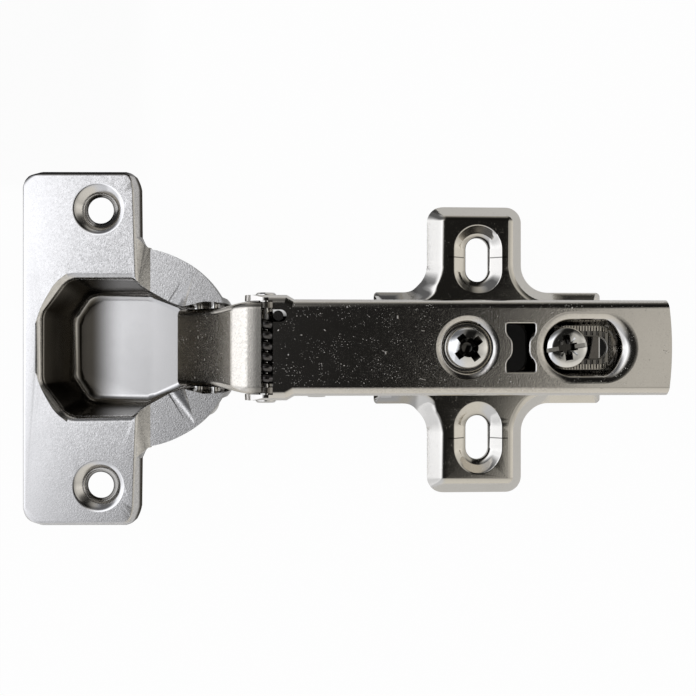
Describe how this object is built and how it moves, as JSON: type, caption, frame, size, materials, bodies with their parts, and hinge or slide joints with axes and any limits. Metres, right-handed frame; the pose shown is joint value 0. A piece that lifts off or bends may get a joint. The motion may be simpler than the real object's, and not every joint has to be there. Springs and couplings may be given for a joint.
{
  "type": "concealed cabinet hinge",
  "caption": "Concealed hinge for a cabinet door: drilled-in cup with flange, two links, long adjustable arm and a cross mounting plate, shown fully open.",
  "frame": {"origin": "on the cabinet's side panel, midway between the mounting plate's two screw slots", "axes": "+X along the arm into the cabinet, +Y across the hinge along the line of the plate's slots, +Z off the panel"},
  "size_m": [0.1113, 0.0612, 0.022],
  "materials": {
    "cup_nickel": "satin nickel plate",
    "link_nickel": "polished nickel plate",
    "arm_nickel": "polished nickel plate",
    "plate_nickel": "nickel plate",
    "screw_zinc": "bright zinc plate",
    "pin_steel": "drawn steel",
    "spring_steel": "oiled spring wire"
  },
  "bodies": {
    "plate": {"mounting_plate": "plate_nickel"},
    "clamp_screw": {"fixing_screw": "screw_zinc"},
    "foot": {"screw_foot": "screw_zinc"},
    "side_screw": {"adjusting_screw": "screw_zinc"},
    "arm": {"hinge_arm": "arm_nickel", "front_rivet": "pin_steel", "rear_rivet": "pin_steel", "torsion_spring": "spring_steel"},
    "outer_link": {"outer_link": "link_nickel"},
    "cup": {"hinge_cup": "cup_nickel", "cup_pin": "pin_steel"},
    "inner_link": {"inner_link": "link_nickel"}
  },
  "joints": [
    {"name": "arm_depth", "type": "slide", "parent": "plate", "child": "foot", "axis": [1, 0, 0], "range_m": [-0.0045, 0]},
    {"name": "arm_tilt", "type": "hinge", "parent": "foot", "child": "arm", "pos_m": [0.0136, 0, 0.0098], "axis": [0, 1, 0], "range_deg": [-1.5, 1.5]},
    {"name": "side_screw_turn", "type": "hinge", "parent": "foot", "child": "side_screw", "pos_m": [-0.0037, 0, 0.0078], "axis": [0, 0, 1], "range_deg": [-205, 205]},
    {"name": "clamp_screw_turn", "type": "hinge", "parent": "plate", "child": "clamp_screw", "pos_m": [0.0136, 0, 0.0072], "axis": [0, 0, 1], "range_deg": [0, 360]},
    {"name": "outer_link_swing", "type": "hinge", "parent": "arm", "child": "outer_link", "pos_m": [-0.0381, 0, 0.0088], "axis": [0, -1, 0], "range_deg": [0, 21.85]},
    {"name": "cup_swing", "type": "hinge", "parent": "outer_link", "child": "cup", "pos_m": [-0.05075, 0, -0.00187], "axis": [0, 1, 0], "range_deg": [0, 114.8]},
    {"name": "inner_link_swing", "type": "hinge", "parent": "cup", "child": "inner_link", "pos_m": [-0.0475, 0, 0.00105], "axis": [0, -1, 0], "range_deg": [0, 128.85]}
  ],
  "couplings": [
    {"joint": "outer_link_swing", "follows": "cup_swing", "ratio": 0.1899},
    {"joint": "inner_link_swing", "follows": "cup_swing", "ratio": 1.122},
    {"joint": "side_screw_turn", "follows": "arm_tilt", "ratio": -135.87}
  ]
}
